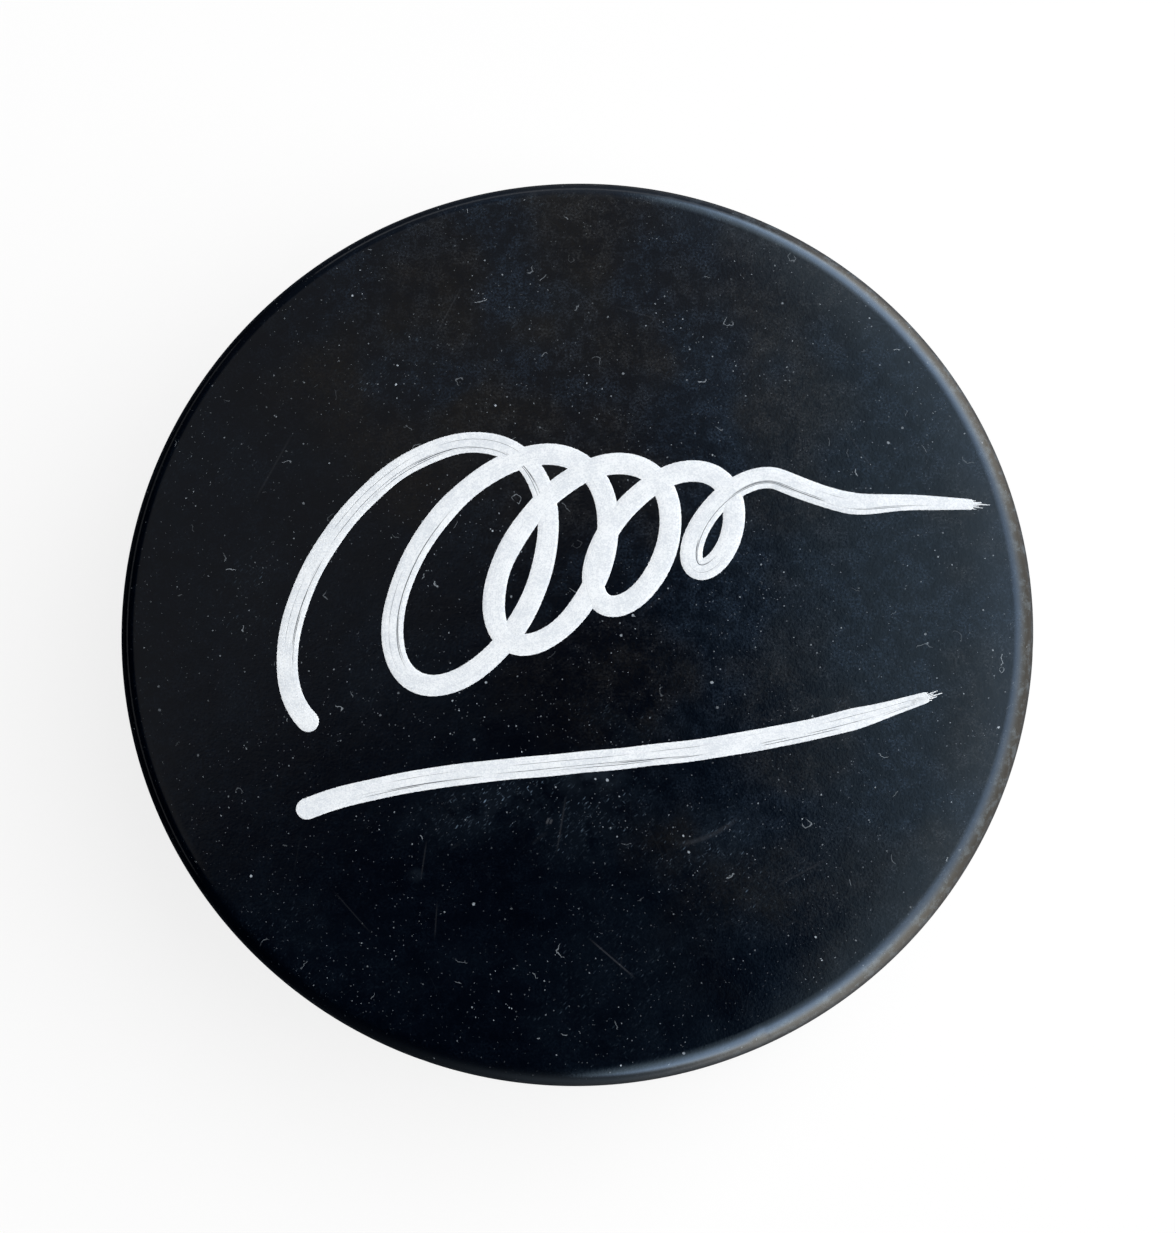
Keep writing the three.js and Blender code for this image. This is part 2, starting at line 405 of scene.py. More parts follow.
def handling_film_and_sheen(graph, where, towards_top_right):
    """A thin mottled film of handling marks. It thickens towards the right and the top, the side the
    light falls on, and there it is a painted sheen.
    """
    fine_mottle = graph.ease(graph.noise(where, 0.20, 3.0, 0.75), 0.38, 0.70)
    broad_mottle = graph.ease(graph.noise(where, 1.3, 4.0, 0.70), 0.40, 0.64, 0.10, 1.0)
    # Painted sheen: the film thickens towards the lit top right.
    thickness = graph.ease(towards_top_right, -14.0, 20.0, 0.14, 1.0)
    return graph.times(fine_mottle, broad_mottle, thickness)


def rubbed_haze(graph, where, clouds):
    """Rubbed patches, made of short dashes that run across the face, and a soft bloom."""
    dashes = graph.plus(*(
        graph.times(dashes_along(graph, where, *family), strength) for *family, strength in DASHES
    ))
    dashes = graph.times(
        dashes, graph.ease(graph.noise(where, 0.9, 2.0, 0.6), 0.36, 0.62, 0.25, 1.0)
    )
    rubbed = graph.times(
        patches(graph, where, SCUFFS), graph.ease(graph.noise(where, 1.9, 3.0, 0.6), 0.28, 0.58)
    )
    rubbed = graph.plus(rubbed, graph.ease(clouds, 0.50, 0.70, 0.0, 0.16))
    bloom = graph.times(
        patches(graph, where, BLOOMS), graph.ease(graph.noise(where, 1.1, 3.0, 0.6), 0.25, 0.70)
    )
    return graph.plus(
        graph.times(rubbed, graph.plus(PATCH_HAZE, graph.times(dashes, DASH_HAZE))),
        graph.times(bloom, BLOOM_HAZE),
    )


def all_scratches(graph, where):
    """Scratches, and hairlines that only show here and there."""
    straight = [
        graph.times(straight_scratch(graph, where, *scratch), strength)
        for *scratch, strength in SCRATCHES
    ]
    curved = graph.times(curved_scratch(graph, where, *CURVED_SCRATCH), CURVED_SCRATCH_STRENGTH)
    fine = graph.plus(*(hairlines(graph, where, *family) for family in HAIRLINES))
    return graph.plus(*straight, curved, graph.times(fine, HAIRLINE_STRENGTH))


def all_dust(graph, where):
    """Specks of three sizes, which gather in some places more than in others."""
    warped = graph.warped(where, 3.0, (0.16, 0.16, 0.16))
    dust = graph.plus(*(
        graph.times(specks(graph, graph.shifted(warped, offset), *size), strength)
        for offset, *size, strength in DUST_SIZES
    ))
    gathered = graph.noise(graph.shifted(where, (7, 3, 11)), 7.0, 3.0, 0.6)
    return graph.times(dust, graph.ease(gathered, 0.34, 0.66, 0.15, 1.0))


def all_lint(graph, where):
    bent = graph.warped(where, 1.3, (0.9, 0.9, 0))
    return graph.plus(*(
        lint(graph, graph.shifted(bent, offset), *kind) for offset, *kind in LINT_KINDS
    ))


def make_rubber():
    material, graph = new_graph("puck_rubber")
    where = graph.place_on_piece()
    across, up, height = graph.split(where)
    towards_top_right = graph.plus(across, graph.times(up, 0.75))
    on_face = graph.ease(height, THICKNESS - 0.25, THICKNESS - 0.05)
    on_skin = graph.ease(height, THICKNESS - 1.6, THICKNESS - 0.8)
    clouds = graph.noise(where, 17.0, 3.0, 0.55)
    blotches = graph.noise(where, 3.4, 3.0, 0.6)
    # Random warm patches, kept off the lower left, which stays darker and bluer: painted shade on the
    # side away from the light.
    warmth_with_shade = graph.times(
        graph.ease(graph.noise(graph.shifted(where, (13, 29, 3)), 9.0, 2.0), 0.40, 0.62),
        graph.ease(towards_top_right, -18.0, -4.0),
    )

    # The handling film is thickest towards the lit top right, where it is partly a painted sheen.
    film = graph.times(handling_film_and_sheen(graph, where, towards_top_right), on_face)
    haze = graph.times(rubbed_haze(graph, where, clouds), on_face)
    scratched = graph.times(all_scratches(graph, where), on_face)
    dust = all_dust(graph, where)
    fibres = graph.times(all_lint(graph, where), on_face, LINT_STRENGTH)
    # Crowns of the knurl are rubbed a little greyer than its grooves.
    worn = graph.ease(graph.noise(where, 1.6, 3.0), 0.42, 0.62)
    worn = graph.times(graph.attribute("crown"), worn)
    # The rim is paler and bluer in spots on the right, the side the light falls on: rubbed spots, and
    # a painted highlight.
    rim_spots = graph.ease(graph.noise(where, 0.9, 4.0, 0.7), 0.46, 0.66)
    rim_wear_and_highlight = graph.times(rim_spots, graph.minus(on_skin, on_face), graph.ease(across, 2.0, 24.0))

    shade = uneven_rubber(graph, where, clouds, blotches, warmth_with_shade)
    for share, tint in (
        # The film: handling marks, and a painted sheen towards the lit top right.
        (graph.times(film, FILM_AND_SHEEN_SHARE), graph.blend(warmth_with_shade, COOL_FILM_SHEEN, WARM_FILM_SHEEN)),
        (graph.times(haze, HAZE_SHARE), HAZE_COLOUR),
        (graph.times(scratched, SCRATCH_SHARE), SCRATCH_COLOUR),
        (graph.math("MINIMUM", graph.plus(dust, fibres), 1.0), DUST_COLOUR),
        (graph.times(worn, CROWN_SHARE), CROWN_COLOUR),
        # Rubbed spots on the rim, and a painted highlight on its lit right side.
        (graph.times(rim_wear_and_highlight, RIM_WEAR_AND_HIGHLIGHT_SHARE), RIM_WEAR_AND_HIGHLIGHT),
    ):
        shade = graph.blend(share, shade, tint)

    # The upper face and its rounded edge have a smooth moulded skin that looks dull at a low angle.
    # The rest is duller all over.
    patchy = graph.plus(graph.times(clouds, 0.5), graph.times(blotches, 0.5))
    low_angle = graph.add("ShaderNodeLayerWeight", {"Blend": 0.5}).outputs["Facing"]
    skin = graph.plus(
        graph.ease(patchy, 0.35, 0.65, 0.07, 0.12), graph.ease(low_angle, 0.35, 0.75, 0.0, 0.50)
    )
    side = graph.ease(patchy, 0.35, 0.65, 0.28, 0.38)
    roughness = graph.plus(
        graph.times(skin, on_skin),
        graph.times(side, graph.minus(1.0, on_skin)),
        graph.times(haze, 0.12),
        graph.times(dust, 0.4),
    )

    relief = graph.plus(
        graph.times(graph.noise(where, 0.26, 2.0, 0.7), 0.0055),
        graph.times(graph.noise(where, 2.8, 2.0), 0.010),
    )
    graph.finish_surface(
        {
            "Base Color": shade,
            "Roughness": roughness,
            "Metallic": 0.0,
            "IOR": 1.5,
            "Specular IOR Level": 0.7,
        },
        graph.bumped(relief, 0.8),
    )
    return material


# -------------------- Marker paint --------------------


# Thin dark lines along a stroke, as (place from -1 to 1 across it, half the line's width).
DRY_LINES = ((0.50, 0.026), (0.38, 0.040), (0.28, 0.022), (-0.30, 0.016))

DULL_PAINT = colour(0.73, 0.77, 0.815)
BRIGHT_PAINT = colour(0.92, 0.95, 0.975)
STREAK_COLOUR = colour(0.40, 0.43, 0.47)
BARE_COLOUR = colour(0.02, 0.023, 0.028)


def make_paint():
    """Silver-white paint: pearly speckles, a faint cloudiness, and dark lines left by a dry nib."""
    material, graph = new_graph("marker_paint")
    where = graph.place_on_piece()
    along, across, dryness = (graph.attribute(name) for name in ("along", "across", "dryness"))

    speckle = graph.noise(where, 0.11, 1.0, 0.6)
    clouds = graph.noise(where, 1.8, 3.0, 0.6)
    flakes = graph.split(graph.cells(where, 0.15)["Color"])[0]
    tone = graph.plus(
        graph.times(speckle, 0.45), graph.times(clouds, 0.40), graph.times(flakes, 0.15)
    )
    paint = graph.blend(graph.ease(tone, 0.36, 0.62), DULL_PAINT, BRIGHT_PAINT)

    # The nib's track: faint streaks along the stroke, and a few thin lines where the nib ran dry.
    track = graph.noise(graph.join(graph.times(along, 0.05), graph.times(across, 3.6)), 0.30, 1.0)
    paint = graph.blend(graph.ease(track, 0.50, 0.72, 0.0, 0.16), paint, STREAK_COLOUR)
    dry_lines = 0.0
    for number, (place, half_width) in enumerate(DRY_LINES):
        wander = graph.noise(graph.join(along, 17.0 * number), 6.0, 1.0)
        wander = graph.times(graph.minus(wander, 0.5), 0.16)
        off_line = graph.absolute(graph.minus(graph.plus(across, wander), place))
        shown = graph.noise(graph.join(along, 23.0 * number + 5.0), 8.0, 2.0)
        line = graph.times(
            graph.ease(off_line, half_width * 1.5, half_width * 0.4), graph.ease(shown, 0.44, 0.56)
        )
        dry_lines = graph.math("MAXIMUM", dry_lines, line)
    gaps = graph.times(dry_lines, graph.ease(dryness, 0.1, 0.8))

    relief = graph.plus(
        graph.times(graph.noise(where, 0.16, 2.0, 0.6), 0.004),
        graph.times(track, 0.006),
        graph.times(gaps, -0.010),
    )
    graph.finish_surface(
        {
            "Base Color": graph.blend(gaps, paint, BARE_COLOUR),
            "Roughness": graph.ease(speckle, 0.3, 0.7, 0.38, 0.52),
            "Metallic": 0.0,
            "IOR": 1.5,
            "Specular IOR Level": 0.5,
        },
        graph.bumped(relief, 0.7),
    )
    return material


# -------------------- Puck --------------------

EDGE_RADIUS = 1.8
EDGE_STEPS = 12
SHOULDER_HEIGHT = 3.4
SHOULDER_STEPS = 3
FACE_RINGS = 10

DIAMONDS_AROUND = 60
KNURL_ROWS = 8
FINENESS = 6                    # mesh steps across a knurl cell, which is half a diamond wide
GROOVE_DEPTH = 0.36
GROOVE_HALF_WIDTH = 0.52
KNURL_FADE = 0.7                # the grooves run out over this height at the band's two edges

# Small knocks in the rim and in the shoulder under it, as (azimuth in degrees, height below the
# upper face, half width, depth).
KNOCKS = (
    (-3.6, 0.75, 0.40, 0.16),
    (-65.5, 0.35, 0.34, 0.10),
    (-66.6, 0.55, 0.30, 0.09),
    (23.0, 3.0, 0.42, 0.10),
    (128.0, 2.8, 0.50, 0.12),
    (251.0, 2.6, 0.40, 0.10),
)
KNOCK_HEIGHT = 1.3              # a knock's height for each unit of its width

# The layout for baking, in a unit square: the discs as (centre, radius), and the side wall's strip.
UPPER_DISC = ((0.385, 0.575), 0.375)
LOWER_DISC = ((0.84, 0.30), 0.15)
SIDE_STRIP_CORNER = np.array((0.015, 0.015))
SIDE_STRIP_SCALE = 0.004        # for each millimetre
DISC_EDGE_HEIGHT = 0.5          # the cut round a disc lies this far below or above its face

COLUMNS = 2 * DIAMONDS_AROUND * FINENESS
BAND_STEPS = KNURL_ROWS * FINENESS


def puck_section():
    """(radius, height) of each ring of the surface, from the lower face's centre to the upper's,
    and the number of the ring that the knurled band starts at."""
    flat_radius = RADIUS - EDGE_RADIUS
    lower = [(flat_radius * ring / FACE_RINGS, 0.0) for ring in range(1, FACE_RINGS)]
    for step in range(EDGE_STEPS + 1):
        angle = step / EDGE_STEPS * math.pi / 2
        radius = flat_radius + EDGE_RADIUS * math.sin(angle)
        lower.append((radius, EDGE_RADIUS * (1 - math.cos(angle))))
    for step in range(1, SHOULDER_STEPS):
        height = EDGE_RADIUS + (SHOULDER_HEIGHT - EDGE_RADIUS) * step / SHOULDER_STEPS
        lower.append((RADIUS, height))
    band_height = THICKNESS - 2 * SHOULDER_HEIGHT
    climb = [band_height * step / BAND_STEPS for step in range(BAND_STEPS + 1)]
    band = [(RADIUS, SHOULDER_HEIGHT + height) for height in climb]
    upper = [(radius, THICKNESS - height) for radius, height in reversed(lower)]
    return np.array(lower + band + upper), len(lower)


def smooth(value):
    """An eased step from 0 to 1."""
    value = np.clip(value, 0, 1)
    return value * value * (3 - 2 * value)


def knurl(columns, rows):
    """How deep the surface lies under a crown, at places counted in knurl cells."""
    cell_width = 2 * math.pi * RADIUS / (2 * DIAMONDS_AROUND)
    cell_height = (THICKNESS - 2 * SHOULDER_HEIGHT) / KNURL_ROWS
    slope = cell_width * cell_height / math.hypot(cell_width, cell_height)
    rising, falling = (columns - rows - 1) / 2, (columns + rows - 1) / 2
    to_rising = np.abs(rising - np.round(rising)) * 2 * slope
    to_falling = np.abs(falling - np.round(falling)) * 2 * slope
    groove = 1 - smooth(np.minimum(to_rising, to_falling) / GROOVE_HALF_WIDTH)
    to_edge = np.minimum(rows, KNURL_ROWS - rows) * cell_height
    return GROOVE_DEPTH * groove * smooth(to_edge / KNURL_FADE)


def knocks(azimuth, below_face):
    """How deep each point has been knocked in."""
    depth = np.zeros_like(azimuth)
    for at, below, half_width, deep in KNOCKS:
        around = np.angle(np.exp(1j * (azimuth - math.radians(at)))) * RADIUS / half_width
        down = (below_face - below) / (half_width * KNOCK_HEIGHT)
        depth += deep * np.exp(-(around**2 + down**2))
    return depth


def new_object(name, vertices, faces, material, attributes=()):
    """A smooth-shaded mesh. Vertices are in millimetres, and attributes are (name, a value for each
    vertex)."""
    mesh = bpy.data.meshes.new(name)
    mesh.from_pydata((np.asarray(vertices) * MM).tolist(), [], faces)
    for label, values in attributes:
        attribute = mesh.attributes.new(label, "FLOAT", "POINT")
        attribute.data.foreach_set("value", np.asarray(values, np.float32))
    mesh.polygons.foreach_set("use_smooth", [True] * len(mesh.polygons))
    mesh.materials.append(material)
    mesh.update()
    piece = bpy.data.objects.new(name, mesh)
    bpy.context.scene.collection.objects.link(piece)
    return piece


def puck_faces(rings, band_start):
    """Faces between the rings, with the knurl's cells split along their grooves."""
    faces = []
    for ring in range(rings - 1):
        in_band = band_start <= ring < band_start + BAND_STEPS
        row = (ring - band_start) // FINENESS
        for column in range(COLUMNS):
            across = (column + 1) % COLUMNS
            a, b = ring * COLUMNS + column, ring * COLUMNS + across
            c, d = b + COLUMNS, a + COLUMNS
            if not in_band:
                faces.append((a, b, c, d))
            elif (column // FINENESS + row) % 2 == 0:
                faces.extend([(a, b, d), (b, c, d)])
            else:
                faces.extend([(a, b, c), (a, c, d)])
    low_centre = rings * COLUMNS
    high_centre = low_centre + 1
    last = (rings - 1) * COLUMNS
    for column in range(COLUMNS):
        across = (column + 1) % COLUMNS
        faces.append((across, column, low_centre))
        faces.append((last + column, last + across, high_centre))
    return faces


def unwrap_puck(mesh, section):
    """Lays the puck out for baking: a disc for each face, and the side wall as a straight strip."""
    corner_vertex = np.empty(len(mesh.loops), np.int32)
    mesh.loops.foreach_get("vertex_index", corner_vertex)
    sides = np.empty(len(mesh.polygons), np.int32)
    mesh.polygons.foreach_get("loop_total", sides)
    face = np.repeat(np.arange(len(sides)), sides)
    place = np.empty(3 * len(mesh.vertices))
    mesh.vertices.foreach_get("co", place)
    place = place.reshape(-1, 3)[corner_vertex] / MM
    height = (np.bincount(face, place[:, 2]) / sides)[face]

    ring, column = corner_vertex // COLUMNS, corner_vertex % COLUMNS
    highest_column = np.zeros(len(sides), int)
    np.maximum.at(highest_column, face, column)
    column = np.where((column == 0) & (highest_column[face] == COLUMNS - 1), COLUMNS, column)
    steps = np.linalg.norm(np.diff(section, axis=0), axis=1)
    climbed = np.append(0, np.cumsum(steps))
    climbed -= climbed[np.searchsorted(section[:len(section) // 2, 1], DISC_EDGE_HEIGHT)]
    around = 2 * math.pi * RADIUS * column / COLUMNS
    climb = climbed[np.minimum(ring, len(section) - 1)]
    layout = SIDE_STRIP_CORNER + SIDE_STRIP_SCALE * np.stack([around, climb], axis=-1)
    for on_disc, centre, size in (
        (height > THICKNESS - DISC_EDGE_HEIGHT, *UPPER_DISC),
        (height < DISC_EDGE_HEIGHT, *LOWER_DISC),
    ):
        layout[on_disc] = np.array(centre) + place[on_disc, :2] * size / RADIUS
    mesh.uv_layers.new(name="OFBake").data.foreach_set("uv", layout.ravel().astype(np.float32))


def make_puck(material):
    section, band_start = puck_section()
    azimuth = np.arange(COLUMNS) / COLUMNS * 2 * math.pi
    around, radius = np.meshgrid(azimuth, section[:, 0])
    height = np.repeat(section[:, 1:2], COLUMNS, axis=1)

    depth = np.zeros_like(radius)
    band = slice(band_start, band_start + BAND_STEPS + 1)
    depth[band] = knurl(
        *np.meshgrid(np.arange(COLUMNS) / FINENESS, np.arange(BAND_STEPS + 1) / FINENESS)
    )
    crown = np.zeros_like(radius)
    crown[band] = 1 - depth[band] / GROOVE_DEPTH

    off_face = radius > RADIUS - EDGE_RADIUS
    depth += np.where(off_face, knocks(around, THICKNESS - height), 0)
    radius = radius - depth

    rings = np.stack([radius * np.cos(around), radius * np.sin(around), height], axis=-1)
    vertices = np.vstack([rings.reshape(-1, 3), [(0, 0, 0), (0, 0, THICKNESS)]])
    crowns = np.append(crown.ravel(), [0, 0])
    faces = puck_faces(len(section), band_start)
    puck = new_object("puck_moulding", vertices, faces, material, [("crown", crowns)])
    unwrap_puck(puck.data, section)
    return puck


# -------------------- Paint strokes --------------------

STROKE_WIDTH = 1.9
TAIL_WIDTH = 0.9
FLOURISH_TAPER = 0.05           # the last share of the stroke, over which it narrows to the tail
UNDERLINE_TAPER = 0.12
ROUND_START, BLUNT_END = STROKE_WIDTH / 2, 0.2
NARROWEST_END = 0.03            # half the width left at a stroke's very end
# Waves of a stroke's two edges, as (height, wavelength).
LEFT_WAVES = ((0.030, 9.0), (0.010, 0.4))
RIGHT_WAVES = ((0.030, 7.0), (0.010, 0.5))
FILM_THICKNESS = 0.024
FILM_RISE = 0.022               # a later pass of the pen lies on top of an earlier one
FILM_SINK = 0.012               # the film's edges and underside lie this far under the face
FILM_FLATNESS = 6               # the higher, the flatter the film's top and the steeper its edges
ACROSS_STEPS = 12
SAMPLE_STEP = 0.16
END_SAMPLES = np.array([0.01, 0.03, 0.06, 0.1, 0.22, 0.3, 0.4])
DRY_ONSET, DRY_RELEASE = 0.03, 0.05  # shares of a stroke over which the nib runs dry and recovers

LOOP_TURNS = 4.5
LOOP_START = math.radians(250)
LOOP_CENTRE = np.array((-15.0, 3.5))
LOOP_DRIFT = np.array((30.5, 5.5))
LOOP_HALF_SIZE = (9.0, 12.5)
LOOP_SLANT = 0.34
LOOP_LAST_SIZE = 0.24
LOOP_SHRINK_POWER = 0.85
TAIL_END = np.array((33.0, 9.6))
TAIL_END_HEADING = np.array((1, -0.08)) / math.hypot(1, -0.08)
TAIL_REACHES = (9.0, 11.0)
UNDERLINE = np.array(((-22, -15.5), (-8, -10.5), (8, -13.5), (29, -6.5)))
LOOP_POINTS, TAIL_POINTS, UNDERLINE_POINTS = 4000, 400, 800
FLOURISH_DRY = ((0.01, 0.22), (0.30, 0.40), (0.84, 1.0))
UNDERLINE_DRY = ((0.08, 0.66), (0.72, 1.0))

# The thin streaks at a stroke's ragged end, as (place across the stroke, reach past its end).
FLOURISH_BRISTLES = (
    (-0.34, 0.4), (-0.20, 0.9), (-0.05, 0.6), (0.10, 1.5), (0.24, 0.8), (0.36, 0.3),
)
UNDERLINE_BRISTLES = (
    (-0.35, 0.3), (-0.22, 0.8), (-0.08, 1.3), (0.08, 0.6), (0.21, 1.0), (0.35, 0.2),
)
BRISTLE_HALF_WIDTH = 0.10
BRISTLE_NARROWING = 0.6         # the share of its width that a streak loses by its end
BRISTLE_ROOT = 1.2              # a streak starts this far back in the stroke
BRISTLE_FAN = 0.5               # the place across that it starts from, for each unit at its end
BRISTLE_ROUND_START, BRISTLE_BLUNT_END = 0.1, 0.05
BRISTLE_POINTS = 30
HEADING_POINTS = 7              # a stroke's last heading is taken over so many of its points


def loop_point(share):
    """The pen's place after a share of the loops, from 0 to 1."""
    size = 1 + (LOOP_LAST_SIZE - 1) * share**LOOP_SHRINK_POWER
    angle = LOOP_START - 2 * math.pi * LOOP_TURNS * share
    side = LOOP_HALF_SIZE[0] * size * np.cos(angle)
    rise = LOOP_HALF_SIZE[1] * size * np.sin(angle)
    centre = LOOP_CENTRE + np.outer(share, LOOP_DRIFT)
    return centre + np.stack([side + LOOP_SLANT * rise, rise], axis=-1)


def bezier(corners, shares):
    a, b, c, d = corners
    t = shares[:, None]
    return (1 - t) ** 3 * a + 3 * (1 - t) ** 2 * t * b + 3 * (1 - t) * t**2 * c + t**3 * d


def flourish_route():
    """The run of loops, and then a tail that leaves them smoothly."""
    loops = loop_point(np.linspace(0, 1, LOOP_POINTS))
    heading = loops[-1] - loops[-2]
    heading /= np.linalg.norm(heading)
    corners = (
        loops[-1],
        loops[-1] + heading * TAIL_REACHES[0],
        TAIL_END - TAIL_END_HEADING * TAIL_REACHES[1],
        TAIL_END,
    )
    return np.vstack([loops, bezier(corners, np.linspace(0, 1, TAIL_POINTS))[1:]])


def wobble(distance, wavelength, random):
    """A gentle random wave along a stroke, between about -1 and 1."""
    phases = random.uniform(0, 2 * math.pi, 4)
    stretches = random.uniform(0.6, 1.7, 4)
    turns = distance / wavelength * 2 * math.pi
    return sum(np.sin(turns * s + p) for s, p in zip(stretches, phases)) / 2.6


def wavy(half_width, waves, distance, random):
    for height, wavelength in waves:
        half_width = half_width + height * wobble(distance, wavelength, random)
    return half_width


def roundness(from_end, radius):
    """A round end's width at a distance from its tip, as a share of the whole width."""
    return np.sqrt(1 - (1 - np.clip(from_end / radius, 0, 1)) ** 2)


def resampled(route, ahead, behind):
    """The route carried on straight past its two ends, as points and their distances along it. They
    are evenly spaced, but closer together at the ends, so that these come out round."""
    first = route[0] - route[1]
    last = route[-1] - route[-2]
    route = np.vstack([
        route[0] + first / np.linalg.norm(first) * behind,
        route,
        route[-1] + last / np.linalg.norm(last) * ahead,
    ])
    distance = np.append(0, np.cumsum(np.linalg.norm(np.diff(route, axis=0), axis=1)))
    even = np.linspace(0, distance[-1], int(distance[-1] / SAMPLE_STEP))
    places = np.unique(np.concatenate([even, END_SAMPLES, distance[-1] - END_SAMPLES]))
    points = np.stack([np.interp(places, distance, route[:, k]) for k in (0, 1)], axis=-1)
    return points, places


def strip(route, half_width, thickness, behind, ahead, dryness, random):
    """One pass of the pen: a thin closed film with rounded edges. behind and ahead are how far it
    runs past the route's two ends, and how long its own round ends are. half_width, thickness and
    dryness are functions of the distance along the stroke and its whole length."""
    points, distance = resampled(route, ahead, behind)
    length = distance[-1]
    heading = np.gradient(points, axis=0)
    heading /= np.linalg.norm(heading, axis=1)[:, None]
    sideways = np.stack([-heading[:, 1], heading[:, 0]], axis=-1)

    wide = half_width(distance, length)
    left = wavy(wide, LEFT_WAVES, distance, random)
    right = wavy(wide, RIGHT_WAVES, distance, random)
    round_start = roundness(distance, behind)
    round_end = roundness(length - distance, ahead)
    left = np.maximum(left * round_start * round_end, NARROWEST_END)
    right = np.maximum(right * round_start * round_end, NARROWEST_END)

    across = np.sin(np.linspace(-math.pi / 2, math.pi / 2, ACROSS_STEPS + 1))
    reach = np.where(across[None, :] < 0, left[:, None], right[:, None])
    ground = points[:, None, :] - sideways[:, None, :] * (across[None, :] * reach)[..., None]
    swell = 1 - np.abs(across) ** FILM_FLATNESS
    crest = thickness(distance, length) + FILM_SINK
    top = THICKNESS - FILM_SINK + crest[:, None] * swell[None, :]
    vertices = np.concatenate([ground, top[..., None]], axis=-1).reshape(-1, 3)

    faces = []
    row = ACROSS_STEPS + 1
    for i in range(len(points) - 1):
        for j in range(ACROSS_STEPS):
            a = i * row + j
            faces.append((a, a + 1, a + row + 1, a + row))
        under = i * row
        faces.append((under, under + row, under + row + ACROSS_STEPS, under + ACROSS_STEPS))
    first_ring = tuple(reversed(range(row)))
    last_ring = tuple(range((len(points) - 1) * row, len(points) * row))
    faces.extend([first_ring, last_ring])
    return {
        "vertices": vertices,
        "faces": faces,
        "along": np.repeat(distance, row),
        "across": np.tile(across, len(points)),
        "dryness": np.repeat(dryness(distance, length), row),
    }


def make_film(name, strips, material):
    faces = []
    start = 0
    for part in strips:
        faces.extend(tuple(v + start for v in face) for face in part["faces"])
        start += len(part["vertices"])

    def joined(label):
        return np.concatenate([part[label] for part in strips])

    attributes = [(label, joined(label)) for label in ("along", "across", "dryness")]
    return new_object(name, joined("vertices"), faces, material, attributes)


def tapering(share):
    """Half the width of a stroke that narrows over the last share of its length."""
    def half_width(distance, length):
        into = np.clip((distance / length - (1 - share)) / share, 0, 1)
        return (STROKE_WIDTH + (TAIL_WIDTH - STROKE_WIDTH) * into) / 2
    return half_width


def dry_between(*stretches):
    """How dry the nib is: 1 inside the stretches, given as shares of the stroke, and 0 outside."""
    def dryness(distance, length):
        share = distance / length
        dry = np.zeros_like(share)
        for start, end in stretches:
            onset = smooth((share - start) / DRY_ONSET)
            dry = np.maximum(dry, onset * smooth((end - share) / DRY_RELEASE))
        return dry
    return dryness


def rising(distance, length):
    """The thickness of a stroke that crosses itself."""
    return FILM_THICKNESS + FILM_RISE * distance / length


def level(distance, length):
    return np.full_like(distance, FILM_THICKNESS)


def narrowing(distance, length):
    """Half the width of a streak."""
    return BRISTLE_HALF_WIDTH * (1 - BRISTLE_NARROWING * distance / length)


def ragged_end(route, bristles, random):
    """The ragged end of a fast stroke: thin streaks that carry on past it by different lengths."""
    heading = route[-1] - route[-1 - HEADING_POINTS]
    heading /= np.linalg.norm(heading)
    sideways = np.array((-heading[1], heading[0]))
    streaks = []
    for offset, reach in bristles:
        start = route[-1] - heading * BRISTLE_ROOT + sideways * offset * BRISTLE_FAN
        end = route[-1] + heading * reach + sideways * offset
        line = np.linspace(start, end, BRISTLE_POINTS)
        ends = BRISTLE_ROUND_START, BRISTLE_BLUNT_END
        streaks.append(strip(line, narrowing, level, *ends, dry_between(), random))
    return streaks


def make_stroke(name, route, taper, thickness, dry_stretches, bristles, seed, material):
    random = np.random.default_rng(seed)
    dryness = dry_between(*dry_stretches)
    ends = ROUND_START, BLUNT_END
    main = strip(route, tapering(taper), thickness, *ends, dryness, random)
    return make_film(name, [main, *ragged_end(route, bristles, random)], material)


def make_flourish(material):
    return make_stroke(
        "flourish_film", flourish_route(), FLOURISH_TAPER, rising,
        FLOURISH_DRY, FLOURISH_BRISTLES, SEED, material,
    )


def make_underline(material):
    return make_stroke(
        "underline_film", bezier(UNDERLINE, np.linspace(0, 1, UNDERLINE_POINTS)), UNDERLINE_TAPER,
        level, UNDERLINE_DRY, UNDERLINE_BRISTLES, SEED + 1, material,
    )


# -------------------- Studio --------------------

STUDIO_RADIUS = 3000.0
FLOOR_SPARE = 1.02              # the floor's half width for each unit of the dome's radius
DOME_RINGS, DOME_COLUMNS = 12, 48
DOME_CLOSING = 0.999            # leaves a pinhole at the top of the dome
DOME_DROP = 1.0                 # how far below the floor the dome starts
FLOOR_DIFFUSE, FLOOR_GLOW = 0.16, 0.84
DOME_TINT, DOME_GLOW = (0.98, 0.99, 1.0), 0.92

# A neutral key for paint, dust and floor, and two low fills, as (azimuth and elevation in degrees,
# distance and size in metres, radiance, tint). The rubber doesn't mirror the key.
KEY = (8, 52, 1.1, (1.3, 1.3), 4.1, (1.0, 1.0, 1.0))
LEFT_FILL = (170, 6, 1.0, (1.4, 0.16), 0.17, (0.94, 0.97, 1.0))
BACK_FILL = (98, 10, 1.0, (0.9, 0.18), 0.36, (0.94, 0.97, 1.0))


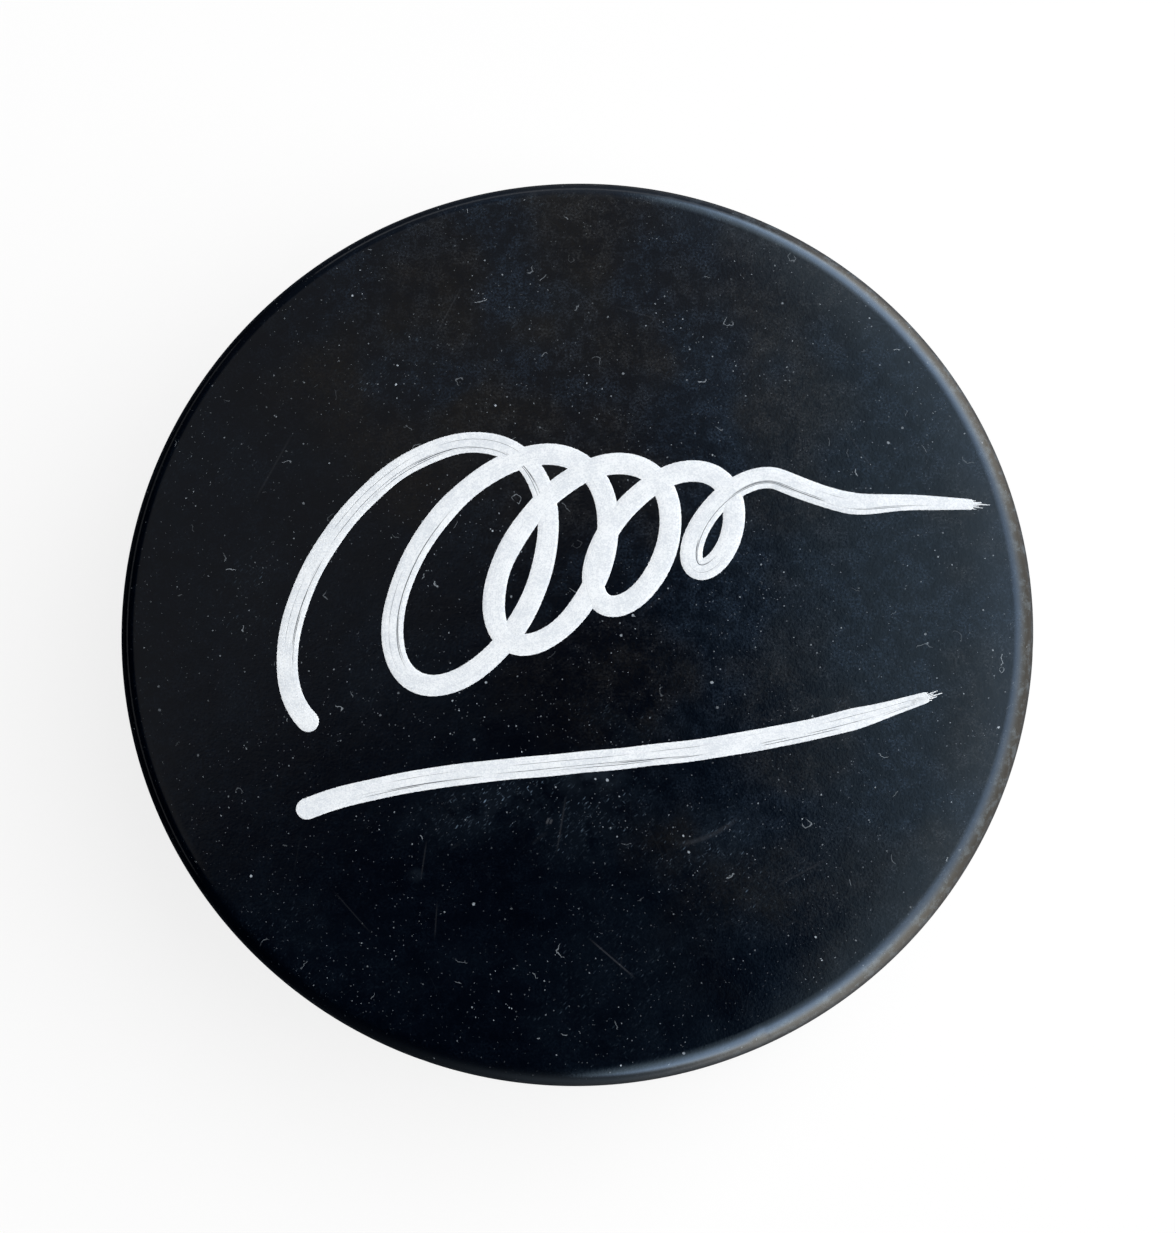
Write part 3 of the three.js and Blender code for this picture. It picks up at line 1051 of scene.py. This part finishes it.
def softbox(name, azimuth, elevation, distance, size, radiance, tint):
    """A rectangular soft light that faces the puck."""
    light = bpy.data.lights.new(name, "AREA")
    light.shape = "RECTANGLE"
    light.size, light.size_y = size
    light.energy = radiance * math.pi * size[0] * size[1]
    light.color = tint
    lamp = bpy.data.objects.new(name, light)
    bpy.context.scene.collection.objects.link(lamp)
    a, e = math.radians(azimuth), math.radians(elevation)
    outward = Vector((math.cos(a) * math.cos(e), math.sin(a) * math.cos(e), math.sin(e)))
    lamp.location = Vector((0, 0, THICKNESS * MM)) + outward * distance
    lamp.rotation_euler = outward.to_track_quat("Z", "Y").to_euler()
    return lamp


# The light from the window side, as (degrees from straight up towards the window, light). It is
# blue high up, where the sky is seen, neutral in the middle and warm low down.
WINDOW_LIGHT = (
    (-1.5, (0.00, 0.00, 0.00)),
    (0.5, (0.02, 0.06, 0.13)),
    (3, (0.39, 0.55, 0.69)),
    (8, (0.75, 1.03, 1.30)),
    (22, (1.80, 2.50, 3.50)),
    (38, (2.50, 3.20, 4.10)),
    (54, (2.80, 3.10, 3.40)),
    (72, (2.24, 2.22, 2.04)),
    (90, (1.60, 1.50, 1.30)),
    (115, (1.12, 1.05, 0.94)),
    (150, (0.20, 0.20, 0.20)),
    (174, (0.00, 0.00, 0.00)),
)
WINDOW_RAMP_START, WINDOW_RAMP_SPAN = WINDOW_LIGHT[0][0], 180.0
WINDOW_PEAK = 4.1                # the brightest number in that list
WINDOW_FACING = math.radians(-4)
# The window's two halves are brighter than what stands between them.
HALVES_GAIN = 0.75
HALVES_START = (0.28, 0.62)      # these are sideways leans from the window's middle
WINDOW_END = (0.995, 0.86)
# Its upper edge slants, by so many degrees for each unit of sideways lean. It does so from the
# middle of the window to the reach, and lies level beyond them on both sides. At the last of these
# leans the edge is where the list above has it.
EDGE_SLANT = 16.0
EDGE_SLANT_REACH = 0.17
EDGE_SLANT_LEVEL = 0.15

# Soft glows in the rest of the room, as (direction, how tight, light).
GLOWS = (
    ((0.3, 1.0, 0.35), 6.0, (0.40, 0.52, 0.72)),
    ((0.35, -1.0, -0.1), 8.0, (0.65, 0.80, 0.95)),
)
# A pale wall behind and to the left, which starts well above the puck.
WALL_DIRECTION = (-0.6, 0.8, 0.0)
WALL_EDGE, WALL_FOOT = (0.12, 0.22), (0.64, 0.80)
WALL_LIGHT = (0.19, 0.19, 0.185)
ROOM_BRIGHTNESS = 0.70


def make_lights():
    key = softbox("key", *KEY)
    key.visible_glossy = False
    softbox("fill_left", *LEFT_FILL)
    softbox("fill_back", *BACK_FILL)


def window_light(graph, direction):
    """A tall window along one side, as light by direction."""
    local = graph.split(graph.turned(direction, -WINDOW_FACING))
    lean = graph.math("DEGREES", graph.math("ARCTAN2", local[0], local[2]))
    slanted = graph.math("MAXIMUM", graph.math("MINIMUM", local[1], EDGE_SLANT_REACH), 0.0)
    slanted = graph.minus(slanted, EDGE_SLANT_LEVEL)
    lean = graph.plus(lean, graph.times(slanted, EDGE_SLANT))
    place = graph.math("DIVIDE", graph.minus(lean, WINDOW_RAMP_START), WINDOW_RAMP_SPAN)
    ramp = graph.add("ShaderNodeValToRGB", {0: place})
    stops = ramp.color_ramp.elements
    for index, (degrees, light) in enumerate(WINDOW_LIGHT):
        position = (degrees - WINDOW_RAMP_START) / WINDOW_RAMP_SPAN
        stop = stops[index] if index < 2 else stops.new(position)
        stop.position = position
        stop.color = (*(channel / WINDOW_PEAK for channel in light), 1.0)
    sideways = graph.absolute(local[1])
    halves = graph.plus(1.0, graph.times(graph.ease(sideways, *HALVES_START), HALVES_GAIN))
    ends = graph.ease(sideways, *WINDOW_END)
    return graph.vector_times(ramp.outputs["Color"], graph.times(halves, ends, WINDOW_PEAK))


def make_world():
    """A dim room that only mirrors see: the window, a wall and two glows."""
    world = bpy.data.worlds.new("dim_room")
    bpy.context.scene.world = world
    world.use_nodes = True
    world.cycles_visibility.diffuse = False
    graph = Graph(world.node_tree)
    direction = graph.add("ShaderNodeTexCoord").outputs["Generated"]
    on_wall = graph.ease(graph.vector("DOT_PRODUCT", direction, WALL_DIRECTION), *WALL_EDGE)
    on_wall = graph.times(on_wall, graph.ease(graph.split(direction)[2], *WALL_FOOT))
    wall = graph.vector_times(WALL_LIGHT, on_wall)
    total = graph.vector("ADD", window_light(graph, direction), wall)
    for towards, tightness, light in GLOWS:
        centre = tuple(Vector(towards).normalized())
        off_centre = graph.minus(graph.vector("DOT_PRODUCT", direction, centre), 1.0)
        glow = graph.math("EXPONENT", graph.times(off_centre, tightness))
        total = graph.vector("ADD", total, graph.vector_times(light, glow))
    background = graph.add("ShaderNodeBackground", {"Color": total, "Strength": ROOM_BRIGHTNESS})
    output = graph.add("ShaderNodeOutputWorld")
    graph.tree.links.new(background.outputs[0], output.inputs["Surface"])


def glowing(name, tint, diffuse, glow):
    """A dull surface that also gives off light of its own."""
    material, graph = new_graph(name)
    graph.finish_surface(
        {
            "Base Color": colour(*(diffuse * channel for channel in tint)),
            "Roughness": 0.9,
            "Specular IOR Level": 0.0,
            "Emission Color": colour(*tint),
            "Emission Strength": glow,
        }
    )
    return material


def make_stage():
    """A pale floor, and a pale dome round it that only the camera sees."""
    reach = STUDIO_RADIUS * FLOOR_SPARE
    corners = [(-reach, -reach, 0), (reach, -reach, 0), (reach, reach, 0), (-reach, reach, 0)]
    pale = glowing("floor_pale", (1, 1, 1), FLOOR_DIFFUSE, FLOOR_GLOW)
    floor = new_object("floor", corners, [(0, 1, 2, 3)], pale)
    floor.visible_glossy = False

    vertices, faces = [], []
    for ring in range(DOME_RINGS + 1):
        rise = ring / DOME_RINGS * math.pi / 2 * DOME_CLOSING
        spoke = STUDIO_RADIUS * math.cos(rise)
        height = STUDIO_RADIUS * math.sin(rise) - DOME_DROP
        for column in range(DOME_COLUMNS):
            turn = column / DOME_COLUMNS * 2 * math.pi
            vertices.append((spoke * math.cos(turn), spoke * math.sin(turn), height))
    for ring in range(DOME_RINGS):
        for column in range(DOME_COLUMNS):
            a = ring * DOME_COLUMNS + column
            b = ring * DOME_COLUMNS + (column + 1) % DOME_COLUMNS
            faces.append((b, a, a + DOME_COLUMNS, b + DOME_COLUMNS))
    pale = glowing("backdrop_pale", DOME_TINT, 0.0, DOME_GLOW)
    dome = new_object("backdrop", vertices, faces, pale)
    dome.visible_glossy = False
    dome.visible_diffuse = False
    dome.visible_shadow = False
    dome.visible_transmission = False


# -------------------- Scene --------------------

make_camera()
make_lights()
make_world()
make_stage()

rubber = make_rubber()
paint = make_paint()

puck = make_puck(rubber)
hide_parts("puck_body")
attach(puck, "root")

flourish = make_flourish(paint)
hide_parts("marker_flourish")
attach(flourish, "root")

underline = make_underline(paint)
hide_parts("marker_underline")
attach(underline, "root")

view = bpy.context.scene.view_settings
view.view_transform = "Standard"
view.look = "None"
